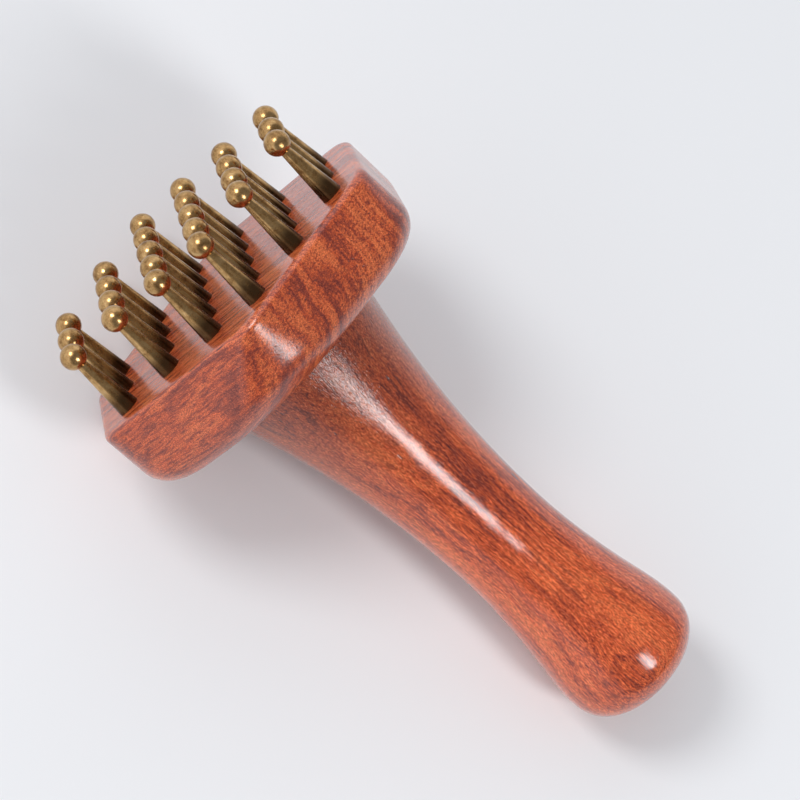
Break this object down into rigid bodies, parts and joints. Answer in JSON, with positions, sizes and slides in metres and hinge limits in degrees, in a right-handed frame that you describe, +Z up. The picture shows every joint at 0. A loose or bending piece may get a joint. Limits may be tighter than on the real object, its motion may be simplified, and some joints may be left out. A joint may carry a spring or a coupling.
{
  "type": "massage comb",
  "caption": "Hand-held massage comb with a six-sided wooden head, ball-tipped brass pins in rows and a turned wooden handle.",
  "frame": {"origin": "middle of the comb's box, on the surface that it lies on", "axes": "+X towards the handle's end, +Z up; the comb lies on its side, on one half of the head's long side and on the handle's bulb"},
  "size_m": [0.1634, 0.0898, 0.0787],
  "materials": {
    "wood": "gloss",
    "brass": "satin",
    "steel": "satin"
  },
  "bodies": {
    "root": {"head_block": "wood", "handle": "wood", "dowel_screw": "steel", "pin_1_1": "brass", "pin_1_2": "brass", "pin_1_3": "brass", "pin_2_1": "brass", "pin_2_2": "brass", "pin_2_3": "brass", "pin_2_4": "brass", "pin_3_1": "brass", "pin_3_2": "brass", "pin_3_3": "brass", "pin_3_4": "brass", "pin_3_5": "brass", "pin_4_1": "brass", "pin_4_2": "brass", "pin_4_3": "brass", "pin_4_4": "brass", "pin_4_5": "brass", "pin_5_1": "brass", "pin_5_2": "brass", "pin_5_3": "brass", "pin_5_4": "brass", "pin_6_1": "brass", "pin_6_2": "brass", "pin_6_3": "brass"}
  },
  "joints": []
}
